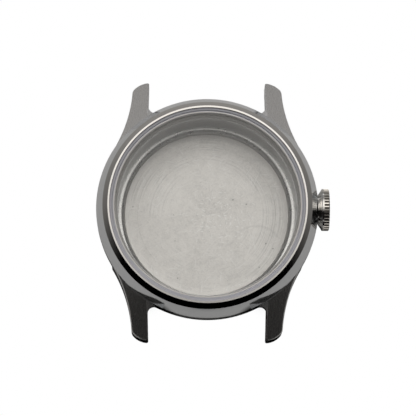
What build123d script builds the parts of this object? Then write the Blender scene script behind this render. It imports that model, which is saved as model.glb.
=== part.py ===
from build123d import *

import math
import os

# An empty round wristwatch case with its crystal, crown and push-fit back, in millimetres.
# The origin is the centre of the back's resting face. +Z leaves through the crystal,
# +Y points to 12 o'clock and +X to the crown. Outlines of turned pieces are (radius, height).

# Overall sizes of the case
case_diameter = 38.0
case_height = 12.4
lug_reach = 3.45
strap_width = 20.0

# Working gaps
strap_clearance = 0.03
press_gap = 0.02
slide_gap = 0.06
running_gap = 0.05
seal_gap = 0.05
crown_gap = 0.10
overrun = 1.0

# Crystal and its gasket
crystal_thickness = 1.2
crystal_inset = 0.45
crystal_chamfer = 0.21
crystal_lower_chamfer = 0.1
gasket_wall = 0.48
gasket_inset = 0.33
gasket_foot = 0.2
gasket_lip = 0.25

# Bezel
rim_width = 0.3
bezel_inset = 1.16
bezel_flank_width = 0.86
bezel_seat_width = 0.86
bezel_stand = 1.17
bezel_web = 0.95
edge_break = 0.05
bezel_gasket_thickness = 0.3

# Rehaut ring between the crystal and the movement's seat
rehaut_top_width = 0.25
rehaut_foot_inset = 0.03

# Middle: barrel
shoulder_drop = 2.93
shoulder_bulge = 0.02
shoulder_edge = 0.3
flank_height = 2.2
underside_inset = 1.4
underside_bulge = 0.35
seat_width = 1.7
barrel_seam_azimuth = 200.0

# Middle: lugs
lug_step = 0.25
lug_tip_height = 5.3
lug_tip_width = 2.85
lug_underside = 1.5
lug_underside_drop = 0.5
lug_underside_arch = 0.35
lug_blend_r = 24.0
lug_tip_r = 3.5
lug_corner_r = 1.2
lug_inner_corner_r = 0.3
lug_inner_taper = 0.15
lug_root_r = 1.05
lug_sink = 0.02
lug_anchor = 2.0
lug_side_fade = 19.0
lug_edge_break = 0.18
bar_hole_r = 0.5
bar_hole_depth = 1.3
bar_from_tip = 2.05
bar_height = 3.3

# Case back with its push-fit flange and gasket
back_thickness = 1.0
back_rim_thickness = 0.9
back_inset = 0.6
back_bevel_width = 2.4
back_bevel_height = 0.45
back_seam = 0.05
flange_height = 1.2
flange_width = 1.34
flange_chamfer = 0.2
flange_foot_width = 1.15
flange_foot_rise = 0.15
socket_step = 0.25
socket_roof_gap = 0.2
bead_height = 0.03
bead_web = 0.11
bead_length = 0.2
bead_groove = 0.2
back_seal_wire_r = 0.22
floor_edge_width = 2.15
floor_recess_depth = 0.02
pry_slot_width = 3.0
pry_slot_depth = 0.6
pry_slot_height = 0.3
pry_slot_azimuth = -62.0

# Crown, its tube and its seal
crown_height = 6.3
crown_r = 3.6
crown_neck_r = 2.5
crown_flat_depth = 0.15
crown_rim_start = 0.56
crown_rim_end = 1.88
crown_flute_start = 0.96
crown_dome = 0.15
crown_edge_round = 0.22
crown_head = 0.4
crown_flutes = 40
flute_r = 0.2
flute_depth = 0.15
tube_r = 1.05
tube_bore_r = 0.75
tube_inset = 0.1
tube_end_gap = 0.1
post_r = 0.7
post_inset = 0.7
stem_thread_r = 0.45
stem_thread_depth = 3.0
crown_seal_wire_r = 0.3
crown_seal_offset = 0.5
washer_thickness = 0.14
washer_inset = 0.03

# Derived levels and radii
case_r = case_diameter / 2
bezel_foot_r = case_r - bezel_inset
rim_outer_r = bezel_foot_r - bezel_flank_width
rim_inner_r = rim_outer_r - rim_width
crystal_r = rim_inner_r - gasket_wall
gasket_lip_r = crystal_r - gasket_lip
middle_top_z = case_height - bezel_stand
shoulder_foot_z = middle_top_z - shoulder_drop
flank_foot_z = shoulder_foot_z - flank_height
middle_bottom_z = back_rim_thickness + back_seam
crystal_top_z = case_height - crystal_inset
crystal_bottom_z = crystal_top_z - crystal_thickness
ledge_z = crystal_bottom_z - gasket_foot
bezel_bottom_z = ledge_z - bezel_web
mouth_floor_z = bezel_bottom_z - bezel_gasket_thickness
bezel_spigot_r = bezel_foot_r - bezel_seat_width
mouth_r = bezel_spigot_r + press_gap
seat_bore_r = mouth_r - seat_width
rehaut_foot_r = seat_bore_r + rehaut_foot_inset
rehaut_outer_r = gasket_lip_r - edge_break + rehaut_top_width
underside_r = case_r - underside_inset
back_r = underside_r - back_inset
back_rest_r = back_r - back_bevel_width
flange_top_z = back_rim_thickness + flange_height
socket_r = seat_bore_r + socket_step
flange_r = socket_r - slide_gap
flange_inner_r = flange_r - flange_width
flange_foot_r = flange_inner_r - flange_foot_width
flange_foot_z = back_thickness + flange_foot_rise
flange_round = flange_top_z - flange_foot_z
floor_recess_r = flange_inner_r - floor_edge_width
seal_rebate_r = flange_r + 2 * (back_seal_wire_r + seal_gap)
seal_rebate_z = middle_bottom_z + 2 * (back_seal_wire_r + seal_gap)
bead_z = seal_rebate_z + bead_web + press_gap
socket_roof_z = flange_top_z + socket_roof_gap
half_gap = strap_width / 2 + strap_clearance
lug_tip_y = case_r + lug_reach
lug_root_x = half_gap + lug_inner_taper
lug_root_circle_r = case_r - lug_sink
bar_y = lug_tip_y - bar_from_tip
lug_top_z = shoulder_foot_z - lug_step
post_end_x = seat_bore_r + post_inset
crown_flat_x = case_r - crown_flat_depth
crown_face_x = crown_flat_x + crown_gap
crown_top_x = case_r + crown_rim_end + crown_dome
cavity_end_x = crown_top_x - crown_head
tube_end_x = cavity_end_x - tube_end_gap
tube_outer_r = tube_r - press_gap / 2
crown_seal_r = tube_outer_r + seal_gap + crown_seal_wire_r
cavity_r = crown_seal_r + crown_seal_wire_r + seal_gap


def turned(outline, axis=Axis.Z):
    """Turn a closed outline of the upright plane about an axis."""
    return revolve(Plane.XZ * make_face(outline), axis)


def ring_of(*points):
    """Turn a ring whose section has straight sides."""
    return turned(Polyline(*points, close=True))


def bulged(start, end, bulge):
    """A shallow arc from start to end that stands out by its bulge to the left of the way."""
    middle_x = (start[0] + end[0]) / 2
    middle_y = (start[1] + end[1]) / 2
    length = math.dist(start, end)
    side_x = -(end[1] - start[1]) / length
    side_y = (end[0] - start[0]) / length
    return ThreePointArc(start, (middle_x + side_x * bulge, middle_y + side_y * bulge), end)


def on_crown_axis(shape):
    """Lift a piece turned about +X to the height of the crown."""
    return Pos(0, 0, crown_height) * shape


def barrel():
    """The turned body of the middle, from its mouth for the bezel to its socket for the back.

    Its seam is near 9 o'clock, away from the crown's hole and the lugs.
    """
    top_edge = (bezel_foot_r - edge_break, middle_top_z)
    shoulder_top = (bezel_foot_r, middle_top_z - edge_break)
    shoulder_end = (case_r - edge_break, shoulder_foot_z + shoulder_edge / 2)
    flank_top = (case_r, shoulder_foot_z - shoulder_edge / 2)
    flank_foot = (case_r, flank_foot_z)
    underside = (underside_r, middle_bottom_z + edge_break)
    groove_low_z = bead_z - press_gap
    groove_high_z = bead_z + bead_length + press_gap
    inside = Polyline(
        underside,
        (underside_r - edge_break, middle_bottom_z),
        (seal_rebate_r, middle_bottom_z),
        (seal_rebate_r, seal_rebate_z),
        (socket_r, seal_rebate_z),
        (socket_r, groove_low_z),
        (socket_r + bead_groove, groove_low_z),
        (socket_r + bead_groove, groove_high_z),
        (socket_r, groove_high_z),
        (socket_r, socket_roof_z),
        (seat_bore_r, socket_roof_z),
        (seat_bore_r, mouth_floor_z),
        (mouth_r, mouth_floor_z),
        (mouth_r, middle_top_z - edge_break),
        (mouth_r + edge_break, middle_top_z),
        top_edge,
        shoulder_top,
    )
    shoulder = bulged(shoulder_top, shoulder_end, shoulder_bulge)
    flank = Polyline(shoulder_end, flank_top, flank_foot)
    belly = bulged(flank_foot, underside, underside_bulge)
    return Rot(0, 0, barrel_seam_azimuth) * turned(inside + shoulder + flank + belly)


def crossing(centre_a, radius_a, centre_b, radius_b):
    """The crossing of two circles that lies to the left of the way from centre a to centre b."""
    apart = math.dist(centre_a, centre_b)
    along = (radius_a**2 - radius_b**2 + apart**2) / (2 * apart)
    aside = math.sqrt(radius_a**2 - along**2)
    way_x = (centre_b[0] - centre_a[0]) / apart
    way_y = (centre_b[1] - centre_a[1]) / apart
    return (centre_a[0] + along * way_x - aside * way_y, centre_a[1] + along * way_y + aside * way_x)


def arc_about(centre, start, end):
    """The short arc from start to end about a centre."""
    radius = math.dist(centre, start)
    middle_x = (start[0] + end[0]) / 2 - centre[0]
    middle_y = (start[1] + end[1]) / 2 - centre[1]
    reach = radius / math.hypot(middle_x, middle_y)
    return ThreePointArc(start, (centre[0] + middle_x * reach, centre[1] + middle_y * reach), end)


def lug_blend_centre():
    """The centre of the lug's outer side, which touches the barrel and passes the end of the tip."""
    tip_end = (half_gap + lug_tip_width, lug_tip_y)
    return crossing(tip_end, lug_blend_r, (0, 0), lug_root_circle_r + lug_blend_r)


def lug_outline():
    """The plan of the lug at 1 o'clock, tangent to the barrel outside and straight inside."""
    blend_centre = lug_blend_centre()
    blend_share = lug_root_circle_r / (lug_root_circle_r + lug_blend_r)
    blend_start = (blend_centre[0] * blend_share, blend_centre[1] * blend_share)
    tip_centre = (half_gap, lug_tip_y - lug_tip_r)
    tip_corner = crossing(blend_centre, lug_blend_r, tip_centre, lug_tip_r)
    if tip_corner[1] < tip_centre[1]:
        tip_corner = crossing(tip_centre, lug_tip_r, blend_centre, lug_blend_r)
    fade = math.atan2(blend_centre[1], blend_centre[0]) - math.radians(lug_side_fade)
    anchor_r = case_r - lug_anchor
    anchor = (anchor_r * math.cos(fade), anchor_r * math.sin(fade))
    root_y = math.sqrt(case_r**2 - lug_root_x**2)
    side_slope = lug_inner_taper / (lug_tip_y - root_y)
    side_start_y = math.sqrt(anchor_r**2 - lug_root_x**2)
    side_start = (half_gap + side_slope * (lug_tip_y - side_start_y), side_start_y)
    edges = [
        Line(side_start, (half_gap, lug_tip_y)),
        arc_about(tip_centre, (half_gap, lug_tip_y), tip_corner),
        arc_about(blend_centre, tip_corner, blend_start),
        Line(blend_start, anchor),
        Line(anchor, side_start),
    ]
    outline = make_face(Curve() + edges)
    outline = fillet(outline.vertices().sort_by_distance((*tip_corner, 0))[0], lug_corner_r)
    return fillet(outline.vertices().sort_by_distance((half_gap, lug_tip_y, 0))[0], lug_inner_corner_r)


def lug_section():
    """The turned slab that gives every lug its falling top and its underside."""
    tip_reach = math.hypot(half_gap, lug_tip_y)
    reach = tip_reach + overrun
    inner_r = case_r - 2 * lug_anchor
    top_end_z = lug_top_z - (lug_top_z - lug_tip_height) * (reach - case_r) / (tip_reach - case_r)
    underside_start = (inner_r, lug_underside)
    underside_end = (reach, lug_underside - lug_underside_drop)
    underside = bulged(underside_start, underside_end, lug_underside_arch)
    top = [(reach, top_end_z), (case_r, lug_top_z), (inner_r, lug_top_z)]
    return turned(underside + Polyline(underside_end, *top, underside_start))


def lug():
    """One lug with its edges broken along the falling top and a blind hole for the spring bar."""
    prism = extrude(lug_outline(), case_height)
    solid = prism & lug_section()
    top = solid.faces().filter_by(GeomType.CONE).sort_by(Axis.Z)[-1]
    blend_centre = lug_blend_centre()
    blend_start_y = blend_centre[1] * case_r / math.hypot(*blend_centre)
    rim = [edge for edge in top.edges() if edge.center().Y > blend_start_y]
    rim = [edge for edge in rim if edge.distance_to(Vertex(0, 0, lug_top_z)) > case_r + lug_sink]
    solid = chamfer(rim, lug_edge_break)
    hole = Pos(half_gap, bar_y, bar_height) * Rot(0, 90, 0) * Cylinder(bar_hole_r, 2 * bar_hole_depth)
    return solid - hole


def root_edges(body, side_x, side_y):
    """The long edges between the barrel and the inner side of the lug in one quarter."""
    found = []
    for edge in body.edges():
        centre = edge.center()
        off_side = abs(centre.X * side_x - lug_root_x)
        reach = math.hypot(centre.X, centre.Y)
        near = underside_r - lug_inner_taper < reach < case_r + lug_inner_taper
        if off_side < lug_inner_taper and centre.Y * side_y > 0 and near and edge.length > lug_root_r:
            found.append(edge)
    return found


def mid_case():
    """The middle: barrel, four lugs, the flat behind the crown and the hole for the crown's tube."""
    first = lug()
    right = [first, mirror(first, Plane.XZ)]
    left = [mirror(shape, Plane.YZ) for shape in right]
    body = barrel() + right + left
    for side_x in (1, -1):
        for side_y in (1, -1):
            body = fillet(root_edges(body, side_x, side_y), lug_root_r)
    tube_hole = Cylinder(tube_r, case_r, align=(Align.CENTER, Align.CENTER, Align.MIN))
    flat = Pos(case_r, 0, 0) * Box(2 * crown_flat_depth, 2 * crown_r, 2 * crown_r)
    return body - on_crown_axis(Pos(seat_bore_r / 2, 0, 0) * Rot(0, 90, 0) * tube_hole) - on_crown_axis(flat)


def bezel():
    """The polished bezel with its narrow rim, the crystal's pocket and the spigot below."""
    return ring_of(
        (rim_outer_r, case_height),
        (rim_inner_r, case_height),
        (rim_inner_r, ledge_z),
        (rehaut_outer_r + press_gap, ledge_z),
        (rehaut_outer_r + press_gap, bezel_bottom_z),
        (bezel_spigot_r, bezel_bottom_z),
        (bezel_spigot_r, middle_top_z + press_gap),
        (bezel_foot_r - edge_break, middle_top_z + press_gap),
        (bezel_foot_r, middle_top_z + edge_break),
    )


def bezel_gasket():
    """The flat ring that seals the bezel in the middle's mouth."""
    return ring_of(
        (rehaut_outer_r + running_gap, mouth_floor_z + press_gap),
        (bezel_spigot_r, mouth_floor_z + press_gap),
        (bezel_spigot_r, bezel_bottom_z - press_gap),
        (rehaut_outer_r + running_gap, bezel_bottom_z - press_gap),
    )


def rehaut_ring():
    """The conical ring that stands on the middle's seat under the crystal's gasket."""
    top_z = ledge_z - press_gap
    return ring_of(
        (rehaut_foot_r, mouth_floor_z + press_gap),
        (rehaut_outer_r, mouth_floor_z + press_gap),
        (rehaut_outer_r, top_z),
        (rehaut_outer_r - rehaut_top_width, top_z),
    )


def crystal():
    """The flat crystal with its bevelled upper edge."""
    return ring_of(
        (0, crystal_bottom_z),
        (crystal_r - crystal_lower_chamfer, crystal_bottom_z),
        (crystal_r, crystal_bottom_z + crystal_lower_chamfer),
        (crystal_r, crystal_top_z - crystal_chamfer),
        (crystal_r - crystal_chamfer, crystal_top_z),
        (0, crystal_top_z),
    )


def crystal_gasket():
    """The L-shaped gasket round the crystal, with a foot under its edge."""
    wall_inner_r = crystal_r + press_gap
    wall_outer_r = rim_inner_r - press_gap
    top_z = case_height - gasket_inset
    return ring_of(
        (gasket_lip_r, ledge_z + press_gap),
        (wall_outer_r, ledge_z + press_gap),
        (wall_outer_r, top_z - edge_break),
        (wall_outer_r - edge_break, top_z),
        (wall_inner_r + edge_break, top_z),
        (wall_inner_r, top_z - edge_break),
        (wall_inner_r, crystal_bottom_z - press_gap),
        (gasket_lip_r, crystal_bottom_z - press_gap),
    )


def case_back():
    """The push-fit back: resting face, bevel, rounded flange with its bead, and the turned floor."""
    outer = Polyline(
        (0, 0),
        (back_rest_r, 0),
        (back_r, back_bevel_height),
        (back_r, back_rim_thickness),
        (flange_r, back_rim_thickness),
        (flange_r, bead_z),
        (flange_r + bead_height, bead_z + bead_length / 3),
        (flange_r + bead_height, bead_z + 2 * bead_length / 3),
        (flange_r, bead_z + bead_length),
        (flange_r, flange_top_z - flange_chamfer),
        (flange_r - flange_chamfer, flange_top_z),
        (flange_inner_r + flange_round, flange_top_z),
    )
    round_foot = (flange_inner_r, flange_foot_z)
    round_over = RadiusArc((flange_inner_r + flange_round, flange_top_z), round_foot, -flange_round)
    sweep_end = (flange_foot_r, back_thickness)
    sweep_r = (flange_foot_width**2 + flange_foot_rise**2) / (2 * flange_foot_rise)
    sweep = arc_about((flange_foot_r, back_thickness + sweep_r), round_foot, sweep_end)
    floor_z = back_thickness - floor_recess_depth
    floor = Polyline(
        sweep_end,
        (floor_recess_r, back_thickness),
        (floor_recess_r - floor_recess_depth, floor_z),
        (0, floor_z),
        (0, 0),
    )
    body = Rot(0, 0, 180) * turned(outer + round_over + sweep + floor)
    slot = Box(2 * pry_slot_depth, pry_slot_width, 2 * pry_slot_height)
    return Rot(0, 0, pry_slot_azimuth) * (body - Pos(back_r, 0, back_rim_thickness) * slot)


def case_back_gasket():
    """The O-ring in the corner between the back's flange and its rim."""
    wire_z = back_rim_thickness + seal_gap + back_seal_wire_r
    return Pos(0, 0, wire_z) * Torus(flange_r + seal_gap + back_seal_wire_r, back_seal_wire_r)


def crown_tube():
    """The tube pressed into the middle, on which the crown slides and turns."""
    start_x = seat_bore_r + tube_inset
    outline = Polyline(
        (start_x, tube_bore_r),
        (start_x, tube_outer_r),
        (tube_end_x - edge_break, tube_outer_r),
        (tube_end_x, tube_outer_r - edge_break),
        (tube_end_x, tube_bore_r),
        close=True,
    )
    return on_crown_axis(turned(outline, Axis.X))


def crown():
    """The fluted crown: smooth conical neck, cavity over the tube and tapped post for the stem."""
    rim_start_x = case_r + crown_rim_start
    rim_end_x = case_r + crown_rim_end
    edge_r = crown_r - crown_edge_round
    profile = Polyline(
        (post_end_x, 0),
        (post_end_x, post_r - edge_break),
        (post_end_x + edge_break, post_r),
        (cavity_end_x, post_r),
        (cavity_end_x, cavity_r),
        (crown_face_x, cavity_r),
        (crown_face_x, crown_neck_r),
        (rim_start_x, edge_r),
    )
    rim_foot = (rim_start_x + crown_edge_round, crown_r)
    rim_top = (rim_end_x - crown_edge_round, crown_r)
    inner_round = RadiusArc((rim_start_x, edge_r), rim_foot, crown_edge_round)
    rim = Line(rim_foot, rim_top)
    outer_round = RadiusArc(rim_top, (rim_end_x, edge_r), crown_edge_round)
    dome_r = (edge_r**2 + crown_dome**2) / (2 * crown_dome)
    dome = RadiusArc((rim_end_x, edge_r), (crown_top_x, 0), dome_r)
    core = Line((crown_top_x, 0), (post_end_x, 0))
    body = turned(profile + inner_round + rim + outer_round + dome + core, Axis.X)
    flute_start_x = case_r + crown_flute_start
    flute_length = crown_top_x - flute_start_x + overrun
    flute_axis_r = crown_r + flute_r - flute_depth
    flute_place = Pos(flute_start_x + flute_length / 2, 0, flute_axis_r) * Rot(0, 90, 0)
    flute = flute_place * Cylinder(flute_r, flute_length)
    flutes = [Rot(360 * (index + 1 / 2) / crown_flutes, 0, 0) * flute for index in range(crown_flutes)]
    thread = Pos(post_end_x, 0, 0) * Rot(0, 90, 0) * Cylinder(stem_thread_r, 2 * stem_thread_depth)
    return on_crown_axis(body - flutes - thread)


def crown_gasket():
    """The O-ring in the crown's cavity, which seals on the tube."""
    ring = Rot(0, 90, 0) * Torus(crown_seal_r, crown_seal_wire_r)
    return on_crown_axis(Pos(crown_face_x + crown_seal_offset, 0, 0) * ring)


def crown_washer():
    """The flat washer that keeps the O-ring in the crown."""
    start_x = crown_face_x + washer_inset
    outline = Polyline(
        (start_x, tube_outer_r + running_gap),
        (start_x, cavity_r - running_gap),
        (start_x + washer_thickness, cavity_r - running_gap),
        (start_x + washer_thickness, tube_outer_r + running_gap),
        close=True,
    )
    return on_crown_axis(turned(outline, Axis.X))


pieces = {
    "mid_case": mid_case,
    "bezel": bezel,
    "bezel_gasket": bezel_gasket,
    "rehaut_ring": rehaut_ring,
    "crystal": crystal,
    "crystal_gasket": crystal_gasket,
    "case_back": case_back,
    "case_back_gasket": case_back_gasket,
    "crown_tube": crown_tube,
    "crown": crown,
    "crown_gasket": crown_gasket,
    "crown_washer": crown_washer,
}

os.makedirs("parts", exist_ok=True)
for node, make in pieces.items():
    export_step(make(), f"parts/{node}.step")
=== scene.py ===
import math

import bpy
from mathutils import Matrix, Vector

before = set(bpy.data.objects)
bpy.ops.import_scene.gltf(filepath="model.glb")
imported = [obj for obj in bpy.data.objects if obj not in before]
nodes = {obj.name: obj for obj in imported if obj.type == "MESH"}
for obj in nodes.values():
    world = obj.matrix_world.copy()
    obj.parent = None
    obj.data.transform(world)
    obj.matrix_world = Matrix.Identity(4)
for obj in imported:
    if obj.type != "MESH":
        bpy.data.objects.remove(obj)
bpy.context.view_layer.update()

# Where the pieces' surfaces change, in millimetres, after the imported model
CASE_TOP = 12.4
CASE_R = 19.0
BORE_R = 15.3
BORE_TOP = 9.3
GLASS_GROUND_R = 15.82
GLASS_BEVEL_R = 16.0
BACK_RIM_TOP = 0.9
FLANGE_INNER_R = 14.15
FLANGE_FOOT_R = 13.0
CROWN_AXIS_Z = 6.3
CROWN_NECK_X = CASE_R + 0.55
CROWN_FLUTES_X = CASE_R + 0.95
CROWN_END_X = CASE_R + 1.88
CROWN_GROOVE_R = 3.5
POST_TIP_X = 16.5

# Marks on the case's floor: small dark pits, as (x, y, radius), and an arc of smear
PITS = (
    (-12.8, 1.4, 0.13), (-5.7, 0.0, 0.11), (-8.3, 6.5, 0.12), (-5.5, -4.6, 0.12),
    (11.5, -5.9, 0.16), (9.15, -10.6, 0.22), (9.1, -9.2, 0.15), (-5.0, -11.1, 0.13),
)
SMEAR_CENTRE = (8.6, -6.6, 0.0)
SMEAR_R = 4.9

# The table, in millimetres, with the middle of the painted pool of light that the metal mirrors, and the
# lower lug tip round which a painted shadow lies
TABLE_HALF = 600.0
TABLE_DROP = 0.05
LIT_CENTRE = (-2.0, 3.0, 0.0)
LUG_TIP = (11.5, -22.0)

# Depth of every bump, in metres, and the least light that the studio gives
RELIEF = 0.00001
MIN_LIGHT = 0.012

WHITE = (1.0, 1.0, 1.0)


def scaled(colour, factor):
    """A colour made darker or lighter by a factor."""
    return tuple(min(1.0, part * factor) for part in colour)


class Graph:
    """Short calls for building a node tree."""

    def __init__(self, tree):
        self.tree = tree
        tree.nodes.clear()

    def add(self, kind, **settings):
        node = self.tree.nodes.new(kind)
        for name, value in settings.items():
            setattr(node, name, value)
        return node

    def plug(self, socket, value):
        if isinstance(value, bpy.types.NodeSocket):
            self.tree.links.new(value, socket)
        elif isinstance(value, (tuple, list)) and len(value) == 3 and socket.type == "RGBA":
            socket.default_value = (*value, 1.0)
        else:
            socket.default_value = value

    def filled(self, kind, *inputs, **settings):
        """A node with its first inputs filled in order."""
        node = self.add(kind, **settings)
        for socket, value in zip(node.inputs, inputs):
            self.plug(socket, value)
        return node

    def surface(self, shader, kind="ShaderNodeOutputMaterial"):
        """Send a shader to the tree's output."""
        self.filled(kind, shader)

    # Numbers

    def math(self, operation, *inputs):
        return self.filled("ShaderNodeMath", *inputs, operation=operation).outputs[0]

    def chain(self, operation, values):
        result = values[0]
        for value in values[1:]:
            result = self.math(operation, result, value)
        return result

    def plus(self, *values):
        return self.chain("ADD", values)

    def minus(self, a, b):
        return self.math("SUBTRACT", a, b)

    def times(self, *values):
        return self.chain("MULTIPLY", values)

    def most(self, *values):
        return self.chain("MAXIMUM", values)

    def absolute(self, value):
        return self.math("ABSOLUTE", value)

    def radius(self, x, y):
        return self.math("SQRT", self.plus(self.times(x, x), self.times(y, y)))

    def step(self, value, low, high, at_low=0.0, at_high=1.0):
        """A smooth change from at_low to at_high as value goes from low to high."""
        inputs = (value, low, high, at_low, at_high)
        return self.filled("ShaderNodeMapRange", *inputs, interpolation_type="SMOOTHSTEP").outputs[0]

    def blend(self, share, low, high):
        """A number between low and high by a share."""
        node = self.add("ShaderNodeMix", data_type="FLOAT")
        for index, value in zip((0, 2, 3), (share, low, high)):
            self.plug(node.inputs[index], value)
        return node.outputs[0]

    # Vectors

    def vector(self, operation, *inputs):
        node = self.filled("ShaderNodeVectorMath", *inputs, operation=operation)
        return node.outputs["Value" if operation == "LENGTH" else "Vector"]

    def stretched(self, vector, factors):
        return self.vector("MULTIPLY", vector, factors)

    def moved(self, vector, way):
        return self.vector("ADD", vector, way)

    def away(self, vector, point):
        """The distance from a point."""
        return self.vector("LENGTH", self.vector("SUBTRACT", vector, point))

    def unit_sum(self, a, b):
        return self.vector("NORMALIZE", self.vector("ADD", a, b))

    def split(self, vector):
        return self.filled("ShaderNodeSeparateXYZ", vector).outputs

    def join(self, x, y, z):
        return self.filled("ShaderNodeCombineXYZ", x, y, z).outputs[0]

    def place(self):
        """The point on the resting part, in millimetres."""
        metres = self.add("ShaderNodeTexCoord").outputs["Object"]
        return self.stretched(metres, (1000.0, 1000.0, 1000.0))

    def facing(self):
        """The surface's direction on the resting part, as x, y and z."""
        return self.split(self.add("ShaderNodeTexCoord").outputs["Normal"])

    # Patterns and surfaces

    def mix(self, share, a, b, blend="MIX"):
        node = self.add("ShaderNodeMix", data_type="RGBA", blend_type=blend)
        for index, value in zip((0, 6, 7), (share, a, b)):
            self.plug(node.inputs[index], value)
        return node.outputs[2]

    def layered(self, tone, *layers):
        """Colours laid over a tone in order, each by its share."""
        for share, colour in layers:
            tone = self.mix(share, tone, colour)
        return tone

    def mix_shaders(self, share, a, b):
        return self.filled("ShaderNodeMixShader", share, a, b).outputs[0]

    def noise(self, vector, scale, detail=2.0, roughness=0.5, dimensions="3D"):
        node = self.add("ShaderNodeTexNoise", noise_dimensions=dimensions)
        self.plug(node.inputs["W" if dimensions == "1D" else "Vector"], vector)
        node.inputs["Scale"].default_value = scale
        node.inputs["Detail"].default_value = detail
        node.inputs["Roughness"].default_value = roughness
        return node.outputs["Fac"]

    def bands(self, along, scale, detail, roughness):
        """A noise that changes only along one number."""
        return self.noise(along, scale, detail, roughness, "1D")

    def cells(self, vector, scale):
        node = self.add("ShaderNodeTexVoronoi")
        self.plug(node.inputs["Vector"], vector)
        node.inputs["Scale"].default_value = scale
        return node.outputs

    def marks(self, place, density, length, width, share, bend=0.0):
        """Scattered short strokes, each in its own cell and at its own angle, 0 to 1."""
        cell = self.cells(place, density)
        dx, dy, _ = self.split(self.vector("SUBTRACT", place, cell["Position"]))
        pick, turn, size = self.split(cell["Color"])
        turn = self.times(turn, math.pi)
        cosine = self.math("COSINE", turn)
        sine = self.math("SINE", turn)
        along = self.plus(self.times(dx, cosine), self.times(dy, sine))
        across = self.minus(self.times(dy, cosine), self.times(dx, sine))
        across = self.plus(across, self.times(along, along, bend))
        along = self.math("DIVIDE", self.absolute(along), self.plus(size, 0.4))
        inside = self.step(along, length, length * 0.5)
        line = self.step(self.absolute(across), width, width * 0.3)
        return self.times(inside, line, self.step(pick, share, share - 0.15))

    def specks(self, place, shift, density, size, patches):
        """Scattered round specks, 0 to 1, only inside the patches of a coarse noise."""
        dots = self.step(self.cells(self.moved(place, shift), density)["Distance"], *size)
        scale, low, high = patches
        return self.times(dots, self.step(self.noise(place, scale, 1.0), low, high))

    def bump(self, height, strength, normal=None):
        node = self.add("ShaderNodeBump")
        node.inputs["Strength"].default_value = strength
        node.inputs["Distance"].default_value = RELIEF
        self.plug(node.inputs["Height"], height)
        if normal is not None:
            self.plug(node.inputs["Normal"], normal)
        return node.outputs[0]

    def metal(self, colour, roughness, normal=None):
        """End the material in metal."""
        shader = self.add("ShaderNodeBsdfPrincipled")
        shader.inputs["Metallic"].default_value = 1.0
        self.plug(shader.inputs["Base Color"], colour)
        self.plug(shader.inputs["Roughness"], roughness)
        if normal is not None:
            self.plug(shader.inputs["Normal"], normal)
        self.surface(shader.outputs[0])

    def rays(self):
        """1 for what the camera sees, and 1 for what metal mirrors or glass passes on."""
        path = self.add("ShaderNodeLightPath").outputs
        return path["Is Camera Ray"], self.most(path["Is Glossy Ray"], path["Is Transmission Ray"])


def material(name):
    made = bpy.data.materials.new(name)
    made.use_nodes = True
    return made, Graph(made.node_tree)


def middle_steel():
    """The middle: polished shoulder and flanks, brushed lug tops, a smooth turned bore."""
    made, g = material("middle_steel")
    place = g.place()
    x, y, z = g.split(place)
    radius = g.radius(x, y)
    upward = g.step(g.facing()[2], 0.45, 0.6)
    on_lug = g.times(upward, g.step(radius, CASE_R - 0.02, CASE_R + 0.02))
    below_top = g.step(z, BORE_TOP + 0.03, BORE_TOP - 0.02)
    in_bore = g.times(g.step(radius, BORE_R + 0.35, BORE_R + 0.3), below_top)

    streaks = g.noise(g.stretched(place, (9.0, 0.28, 1.0)), 1.6, 3.0, 0.6)
    fine = g.noise(g.stretched(place, (26.0, 0.7, 1.0)), 1.3, 1.0, 0.5)
    brushing = g.plus(g.times(streaks, 0.55), g.times(fine, 0.45))
    turning = g.bands(z, 1.6, 3.0, 0.6)
    cloud = g.noise(place, 0.35, 3.0, 0.55)
    wear = g.most(
        g.marks(place, density=0.5, length=0.8, width=0.04, share=0.5, bend=0.05),
        g.marks(g.moved(place, (9.0, 31.0, 4.0)), density=0.3, length=1.4, width=0.03, share=0.5),
    )

    polished = (0.63, 0.645, 0.662)
    brushed = g.mix(brushing, (0.53, 0.521, 0.514), (0.632, 0.622, 0.614))
    turned = g.mix(turning, (0.575, 0.58, 0.585), (0.635, 0.64, 0.645))
    worn = (g.times(wear, 0.2), (0.8, 0.8, 0.79))
    tone = g.layered(polished, (on_lug, brushed), (in_bore, turned), worn)

    polished_rough = g.plus(0.055, g.times(cloud, 0.04), g.times(wear, 0.08))
    brushed_rough = g.plus(0.22, g.times(brushing, 0.12))
    rough = g.blend(in_bore, g.blend(on_lug, polished_rough, brushed_rough), 0.3)

    height = g.plus(g.times(brushing, on_lug, 0.4), g.times(wear, -0.03))
    g.metal(tone, rough, g.bump(height, 0.3))
    return made


def polished_steel(name, colour=(0.64, 0.635, 0.63), up_rough=0.05, crown_up=0.0):
    """Polished steel with faint hairlines; faces that look up may be duller and rounded outward."""
    made, g = material(name)
    place = g.place()
    x, y, _ = g.split(place)
    upward = g.step(g.facing()[2], 0.9, 0.97)
    cloud = g.noise(place, 0.5, 3.0, 0.55)
    wear = g.most(
        g.marks(place, density=0.6, length=0.6, width=0.03, share=0.5, bend=0.05),
        g.marks(g.moved(place, (9.0, 31.0, 4.0)), density=0.4, length=1.0, width=0.025, share=0.5),
    )
    tone = g.mix(g.times(wear, 0.2), colour, scaled(colour, 0.85))
    rough = g.plus(g.blend(upward, 0.05, up_rough), g.times(cloud, 0.04), g.times(wear, 0.03))

    outward = g.vector("NORMALIZE", g.join(x, y, 0.0))
    lean = g.add("ShaderNodeVectorMath", operation="SCALE")
    g.plug(lean.inputs["Vector"], outward)
    g.plug(lean.inputs["Scale"], g.times(upward, crown_up))
    own_normal = g.add("ShaderNodeNewGeometry").outputs["Normal"]
    rounded = g.unit_sum(own_normal, lean.outputs["Vector"])
    g.metal(tone, rough, g.bump(g.times(wear, -1.0), 0.015, rounded))
    return made


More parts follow.
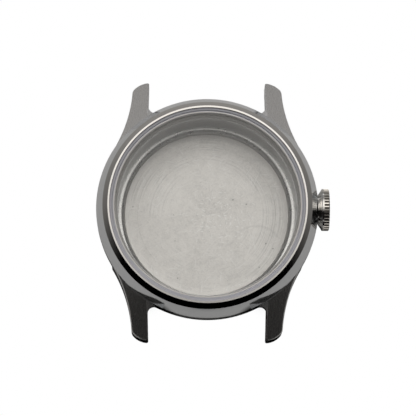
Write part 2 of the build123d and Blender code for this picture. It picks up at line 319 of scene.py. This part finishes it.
def crown_steel():
    """The crown: polished ridges, grooves painted dark as shade and dirt, a neck that curves into the rim
    with a painted highlight on its upper side, and a post tip with painted shade and a painted highlight.
    """
    made, g = material("crown_steel")
    place = g.place()
    x, y, z = g.split(place)
    up = g.minus(z, CROWN_AXIS_Z)
    off_axis = g.radius(y, up)
    off_middle = g.absolute(y)
    fluted = g.step(x, CROWN_FLUTES_X - 0.05, CROWN_FLUTES_X + 0.05)
    side_on = g.step(g.facing()[0], 0.8, 0.5)
    below_ridges = g.step(off_axis, CROWN_GROOVE_R + 0.05, CROWN_GROOVE_R - 0.03)
    # Painted shade, with dirt, darkens the grooves between the ridges
    groove_shade_and_dirt = g.times(fluted, below_ridges, g.step(off_axis, 2.9, 3.2), side_on)
    on_neck = g.step(x, CROWN_NECK_X + 0.05, CROWN_NECK_X - 0.05)
    # Painted highlight: the upper side of the neck is painted lighter, and its normals lean into the rim
    neck_highlight = g.times(on_neck, g.step(off_middle, 2.0, 1.3), g.step(up, 0.5, 1.2))
    post_tip = g.step(x, POST_TIP_X + 0.1, POST_TIP_X - 0.1)
    cloud = g.noise(place, 1.2, 3.0, 0.55)
    wear = g.marks(place, density=1.2, length=0.3, width=0.025, share=0.5)

    # Painted shade on the post tip for the dark stem hole, with a painted highlight along its middle
    tip_shade_and_highlight = g.mix(g.step(off_middle, 0.3, 0.2), (0.03, 0.03, 0.03), (0.95, 0.94, 0.92))
    tone = g.layered(
        (0.66, 0.645, 0.62),
        (fluted, (0.72, 0.69, 0.645)),
        (g.times(neck_highlight, 0.9), (0.9, 0.88, 0.85)),
        (g.times(groove_shade_and_dirt, 0.93), (0.03, 0.028, 0.026)),
        (g.times(wear, 0.3), (0.4, 0.39, 0.38)),
        (post_tip, tip_shade_and_highlight),
    )
    rough = g.plus(0.07, g.times(cloud, 0.06), g.times(groove_shade_and_dirt, 0.3))

    # Flat facets in the middle of the end face, where the smooth normals meet in one point
    geometry = g.add("ShaderNodeNewGeometry").outputs
    end_middle = g.times(g.step(x, CROWN_END_X - 0.03, CROWN_END_X + 0.02), g.step(off_axis, 2.2, 1.6))
    own_normal = g.mix(end_middle, geometry["Normal"], geometry["True Normal"])
    curved = g.unit_sum(own_normal, g.join(g.times(neck_highlight, 1.3), 0.0, 0.0))
    g.metal(tone, rough, g.bump(g.times(wear, -1.0), 0.04, curved))
    return made


def turned_steel(name, colour=(0.62, 0.615, 0.61)):
    """Finely turned steel, with faint rings by height and radius."""
    made, g = material(name)
    x, y, z = g.split(g.place())
    rings = g.bands(g.plus(z, g.radius(x, y)), 1.8, 3.0, 0.6)
    tone = g.mix(rings, scaled(colour, 0.94), scaled(colour, 1.04))
    g.metal(tone, g.plus(0.24, g.times(rings, 0.06)))
    return made


def back_steel():
    """The back: a turned floor with stains, specks and scratches, a smooth flange and underside."""
    made, g = material("back_steel")
    x, y, z = g.split(g.place())
    flat = g.join(x, y, 0.0)
    radius = g.radius(x, y)
    above = g.step(z, BACK_RIM_TOP - 0.1, BACK_RIM_TOP)
    inside = g.times(above, g.step(radius, FLANGE_INNER_R + 0.2, FLANGE_INNER_R - 0.05))
    centre = g.step(radius, 1.0, 7.0, 1.0, 0.0)
    near_centre = g.step(g.away(flat, (2.5, -1.0, 0.0)), 2.5, 8.0, 1.0, 0.3)

    # Rings of the lathe, clearer in some sectors and away from the middle
    wobble = g.times(g.minus(g.noise(flat, 0.1, 2.0, 0.5), 0.5), 0.5)
    spread = g.plus(radius, wobble)
    rings = g.plus(g.times(g.bands(spread, 3.4, 3.0, 0.7), 0.7), g.times(g.bands(spread, 1.1, 2.0, 0.6), 0.3))
    sector = g.step(g.noise(flat, 0.13, 2.0, 0.6), 0.42, 0.62)
    ring_share = g.times(g.plus(0.15, g.times(sector, 0.85)), g.step(radius, 4.0, 9.5, 0.15, 1.0), 0.85)
    ridge = g.times(g.minus(g.step(rings, 0.34, 0.66), 0.5), ring_share)

    patches = g.noise(flat, 0.16, 4.0, 0.6)
    blotch = g.noise(flat, 0.9, 3.0, 0.65)
    mottle = g.plus(g.times(g.noise(flat, 3.2, 4.0, 0.7), 0.55), g.times(blotch, 0.45))

    medium = g.marks(flat, density=0.42, length=0.9, width=0.07, share=0.6, bend=0.04)
    far_off = g.moved(flat, (5.0, 43.0, 0.0))
    long = g.marks(far_off, density=0.25, length=1.8, width=0.05, share=0.6, bend=0.02)
    short = g.marks(g.moved(flat, (31.0, 7.0, 0.0)), density=1.0, length=0.32, width=0.09, share=0.7)
    strokes = g.most(g.times(g.most(medium, long), 0.6), g.times(short, near_centre))

    large = g.specks(flat, (0.0, 0.0, 0.0), 0.42, (0.07, 0.04), (0.5, 0.52, 0.57))
    small = g.specks(flat, (13.7, 5.1, 0.0), 1.1, (0.09, 0.05), (0.7, 0.53, 0.57))
    bright = g.specks(flat, (3.3, 27.9, 0.0), 1.5, (0.12, 0.05), (0.4, 0.42, 0.55))
    pits = [g.step(g.away(flat, (pit_x, pit_y, 0.0)), pit_r, pit_r * 0.4) for pit_x, pit_y, pit_r in PITS]
    dark = g.most(large, g.times(small, 0.6), *pits)

    off_smear = g.plus(g.away(flat, SMEAR_CENTRE), g.times(g.noise(flat, 0.8, 2.0), 0.5))
    smear = g.step(g.absolute(g.minus(off_smear, SMEAR_R)), 0.3, 0.0)
    smear = g.times(smear, g.step(y, -5.5, -3.2), g.step(x, 3.6, 6.0))

    stain = g.times(g.step(mottle, 0.5, 0.38), g.plus(0.35, g.times(centre, 0.65)), 0.35)

    # The foot of the flange is lighter and free of marks, and on the far side it is painted darker as shade
    # in the corner
    clean = g.step(radius, FLANGE_FOOT_R + 0.5, FLANGE_FOOT_R + 0.85)
    to_far_side = g.math("DIVIDE", g.plus(g.times(x, 0.5), g.times(y, 0.87)), radius)
    at_foot = g.step(radius, FLANGE_FOOT_R - 0.1, FLANGE_INNER_R - 0.05)
    foot_shade = g.times(at_foot, g.step(to_far_side, -0.85, 0.35), 0.38)

    groove_tone = (0.44, 0.435, 0.425)
    tone = g.layered(
        (0.665, 0.648, 0.628),
        (g.step(patches, 0.35, 0.65), (0.765, 0.745, 0.722)),
        (g.times(g.step(mottle, 0.4, 0.6), 0.45), (0.895, 0.872, 0.845)),
        (stain, (0.45, 0.443, 0.435)),
        (g.step(ridge, 0.0, -0.5, 0.0, 0.45), groove_tone),
        (g.step(ridge, 0.0, 0.5, 0.0, 0.45), (0.88, 0.872, 0.86)),
        (g.times(smear, 0.26), groove_tone),
        (g.times(strokes, 0.85), (0.99, 0.985, 0.975)),
        (g.times(bright, near_centre), (0.995, 0.995, 0.99)),
        (g.times(dark, 0.8), (0.14, 0.135, 0.13)),
        (clean, (0.79, 0.77, 0.746)),
        (foot_shade, (0.2, 0.195, 0.19)),
    )
    flange_tone = g.mix(blotch, (0.60, 0.595, 0.585), (0.66, 0.655, 0.645))
    tone = g.mix(inside, flange_tone, tone)

    floor_rough = g.plus(0.42, g.times(mottle, 0.14))
    flange_rough = g.plus(0.24, g.times(blotch, 0.08))
    height = g.plus(g.times(ridge, 0.6), g.times(mottle, 0.5), g.times(strokes, -0.4))
    height = g.times(height, g.step(radius, FLANGE_FOOT_R + 0.8, FLANGE_FOOT_R + 0.2), above)
    g.metal(tone, g.blend(inside, flange_rough, floor_rough), g.bump(height, 0.35))
    return made


def crystal_glass():
    """Clear glass whose bevelled edge is ground, seen through without bending."""
    made, g = material("crystal_glass")
    x, y, _ = g.split(g.place())
    radius = g.radius(x, y)
    clear = g.add("ShaderNodeBsdfTransparent")
    clear.inputs["Color"].default_value = (0.985, 0.99, 0.99, 1.0)
    gloss = g.add("ShaderNodeBsdfGlossy")
    gloss.inputs["Roughness"].default_value = 0.02
    fresnel = g.add("ShaderNodeFresnel")
    fresnel.inputs["IOR"].default_value = 1.52
    glass = g.mix_shaders(fresnel.outputs[0], clear.outputs[0], gloss.outputs[0])

    bevel = g.step(radius, GLASS_BEVEL_R - 0.01, GLASS_BEVEL_R + 0.02)
    ground = g.add("ShaderNodeBsdfPrincipled")
    g.plug(ground.inputs["Base Color"], g.mix(bevel, (0.92, 0.90, 0.88), (0.86, 0.87, 0.91)))
    ground.inputs["Roughness"].default_value = 0.5
    edge = g.step(radius, GLASS_GROUND_R - 0.01, GLASS_GROUND_R + 0.02)
    g.surface(g.mix_shaders(g.times(edge, 0.97), glass, ground.outputs[0]))
    return made


def plastic(name, colour, roughness, depth=0.0):
    """Smooth plastic or rubber with a faint mould grain."""
    made, g = material(name)
    grain = g.noise(g.place(), 6.0, 3.0, 0.6)
    shader = g.add("ShaderNodeBsdfPrincipled")
    g.plug(shader.inputs["Base Color"], g.mix(grain, scaled(colour, 0.92), scaled(colour, 1.06)))
    g.plug(shader.inputs["Roughness"], g.plus(roughness - 0.05, g.times(grain, 0.1)))
    shader.inputs["Subsurface Weight"].default_value = depth
    shader.inputs["Subsurface Radius"].default_value = (0.0003, 0.0003, 0.0003)
    g.plug(shader.inputs["Normal"], g.bump(grain, 0.1))
    g.surface(shader.outputs[0])
    return made


RUBBER = (0.02, 0.02, 0.02)
finishes = {
    "mid_case": middle_steel(),
    "bezel": polished_steel("bezel_steel", (0.64, 0.628, 0.61), up_rough=0.24, crown_up=0.11),
    "bezel_gasket": plastic("bezel_gasket_nylon", (0.78, 0.78, 0.76), 0.4, 0.3),
    "rehaut_ring": turned_steel("rehaut_steel"),
    "crystal": crystal_glass(),
    "crystal_gasket": plastic("crystal_seal_nylon", (0.56, 0.565, 0.62), 0.4, 0.1),
    "case_back": back_steel(),
    "case_back_gasket": plastic("back_seal_rubber", RUBBER, 0.5),
    # The tube's steel is painted near black, as painted shade round the stem hole
    "crown_tube": turned_steel("tube_steel", (0.12, 0.12, 0.12)),
    "crown": crown_steel(),
    "crown_gasket": plastic("crown_seal_rubber", RUBBER, 0.5),
    "crown_washer": polished_steel("washer_steel"),
}
for name, made in finishes.items():
    for slot in nodes[name].material_slots:
        slot.material = made


def floor():
    """A plain white table with the case's soft shadow, painted from ambient occlusion.

    Metal mirrors it as pale paper that gets darker outwards and towards 6 o'clock, as in the
    photograph, and as white only far out on the other side.
    """
    half = TABLE_HALF / 1000
    corners = [(-half, -half, 0), (half, -half, 0), (half, half, 0), (-half, half, 0)]
    mesh = bpy.data.meshes.new("table")
    mesh.from_pydata(corners, [], [(0, 1, 2, 3)])
    table = bpy.data.objects.new("table", mesh)
    bpy.context.scene.collection.objects.link(table)
    table.location = (0, 0, -TABLE_DROP / 1000)

    made, g = material("table_white")
    place = g.place()
    x, y, _ = g.split(place)
    distance = g.away(place, LIT_CENTRE)
    corner = g.add("ShaderNodeAmbientOcclusion", samples=16)
    corner.inputs["Distance"].default_value = 0.005
    openness = corner.outputs["AO"]

    # Painted light and shade on the paper that the metal mirrors: a painted pool of light fading outwards, a
    # painted contact shadow from ambient occlusion that is stronger towards 6 o'clock, and painted shadow
    # round the lower lug tips and on the near side
    lit = g.times(g.step(distance, 30.0, 52.0, 1.0, 0.54), g.step(distance, 48.0, 80.0, 1.0, 0.0))
    contact_shade = g.math("POWER", openness, g.step(y, -15.0, 8.0, 3.5, 0.15))
    off_tip = g.radius(g.minus(g.absolute(x), LUG_TIP[0]), g.minus(y, LUG_TIP[1]))
    near_side_shadow = g.times(g.step(off_tip, 3.5, 6.5, 0.03, 1.0), g.step(y, -36.5, -32.0, 0.03, 1.0))
    shade = g.times(lit, contact_shade, near_side_shadow, 0.86)
    paper = g.add("ShaderNodeBsdfDiffuse")
    g.plug(paper.inputs["Color"], g.join(shade, shade, shade))

    seen, mirrored = g.rays()
    white = g.add("ShaderNodeEmission")
    # Painted contact shadow: the white that the camera sees is darkened where ambient occlusion is strong
    g.plug(white.inputs["Color"], g.mix(g.step(openness, 0.0, 0.3), (0.3, 0.3, 0.3), WHITE))
    on_far_side = g.step(g.math("DIVIDE", y, distance), 0.25, 0.45)
    far_out = g.times(mirrored, g.step(distance, 190.0, 260.0), on_far_side)
    g.surface(g.mix_shaders(g.most(seen, far_out), paper.outputs[0], white.outputs[0]))
    mesh.materials.append(made)


def studio():
    """A wide soft box above the far side, a grey wall behind it and a dark room on the near side.

    The camera sees plain white. Metal mirrors the studio, with a low grey wall all round and the
    white on the far side's horizon.
    """
    world = bpy.data.worlds.new("studio")
    bpy.context.scene.world = world
    world.use_nodes = True
    g = Graph(world.node_tree)
    _, y, z = g.split(g.add("ShaderNodeTexCoord").outputs["Generated"])
    seen, mirrored = g.rays()
    box_side = g.step(y, -0.36, 0.34)
    box_end = g.step(z, 0.5, 0.86)
    wall = g.step(y, 0.1, 0.6, MIN_LIGHT, 0.36)
    light = g.plus(g.times(box_side, box_end, 1.5), g.times(wall, g.minus(1.0, box_end)))
    low_wall = g.times(mirrored, g.step(z, 0.17, 0.28), g.step(z, 0.45, 0.33), 0.34)
    light = g.most(light, low_wall, MIN_LIGHT)
    warmth = g.mix(box_end, (1.0, 0.985, 0.965), (1.0, 0.97, 0.93))
    tone = g.mix(1.0, g.join(light, light, light), warmth, "MULTIPLY")
    horizon = g.times(mirrored, g.step(z, 0.16, 0.07), g.step(y, 0.25, 0.45))
    background = g.add("ShaderNodeBackground")
    g.plug(background.inputs["Color"], g.mix(g.most(seen, horizon), tone, WHITE))
    background.inputs["Strength"].default_value = 1.0
    g.surface(background.outputs[0], "ShaderNodeOutputWorld")


def camera():
    """The photograph's view: from above, leaning 10 degrees to 6 o'clock."""
    data = bpy.data.cameras.new("camera")
    data.lens = 222.9
    data.sensor_width = 36.0
    data.clip_start = 0.01
    data.clip_end = 10.0
    eye = bpy.data.objects.new("camera", data)
    bpy.context.scene.collection.objects.link(eye)
    lean = math.radians(10.0)
    side = math.radians(0.94)
    distance = 436.0
    away = Vector((-math.sin(side), -math.sin(lean) * math.cos(side), math.cos(lean) * math.cos(side)))
    aim = Vector((0.05, -0.77, CASE_TOP))
    place = Vector((0, 0, CASE_TOP)) + away * distance
    back = (place - aim).normalized()
    right = Vector((0, 1, 0)).cross(back).normalized()
    up = back.cross(right)
    turn = Matrix((right, up, back)).transposed().to_4x4()
    eye.matrix_world = Matrix.Translation(place / 1000) @ turn
    bpy.context.scene.camera = eye


floor()
studio()
camera()
bpy.context.scene.view_settings.view_transform = "Standard"
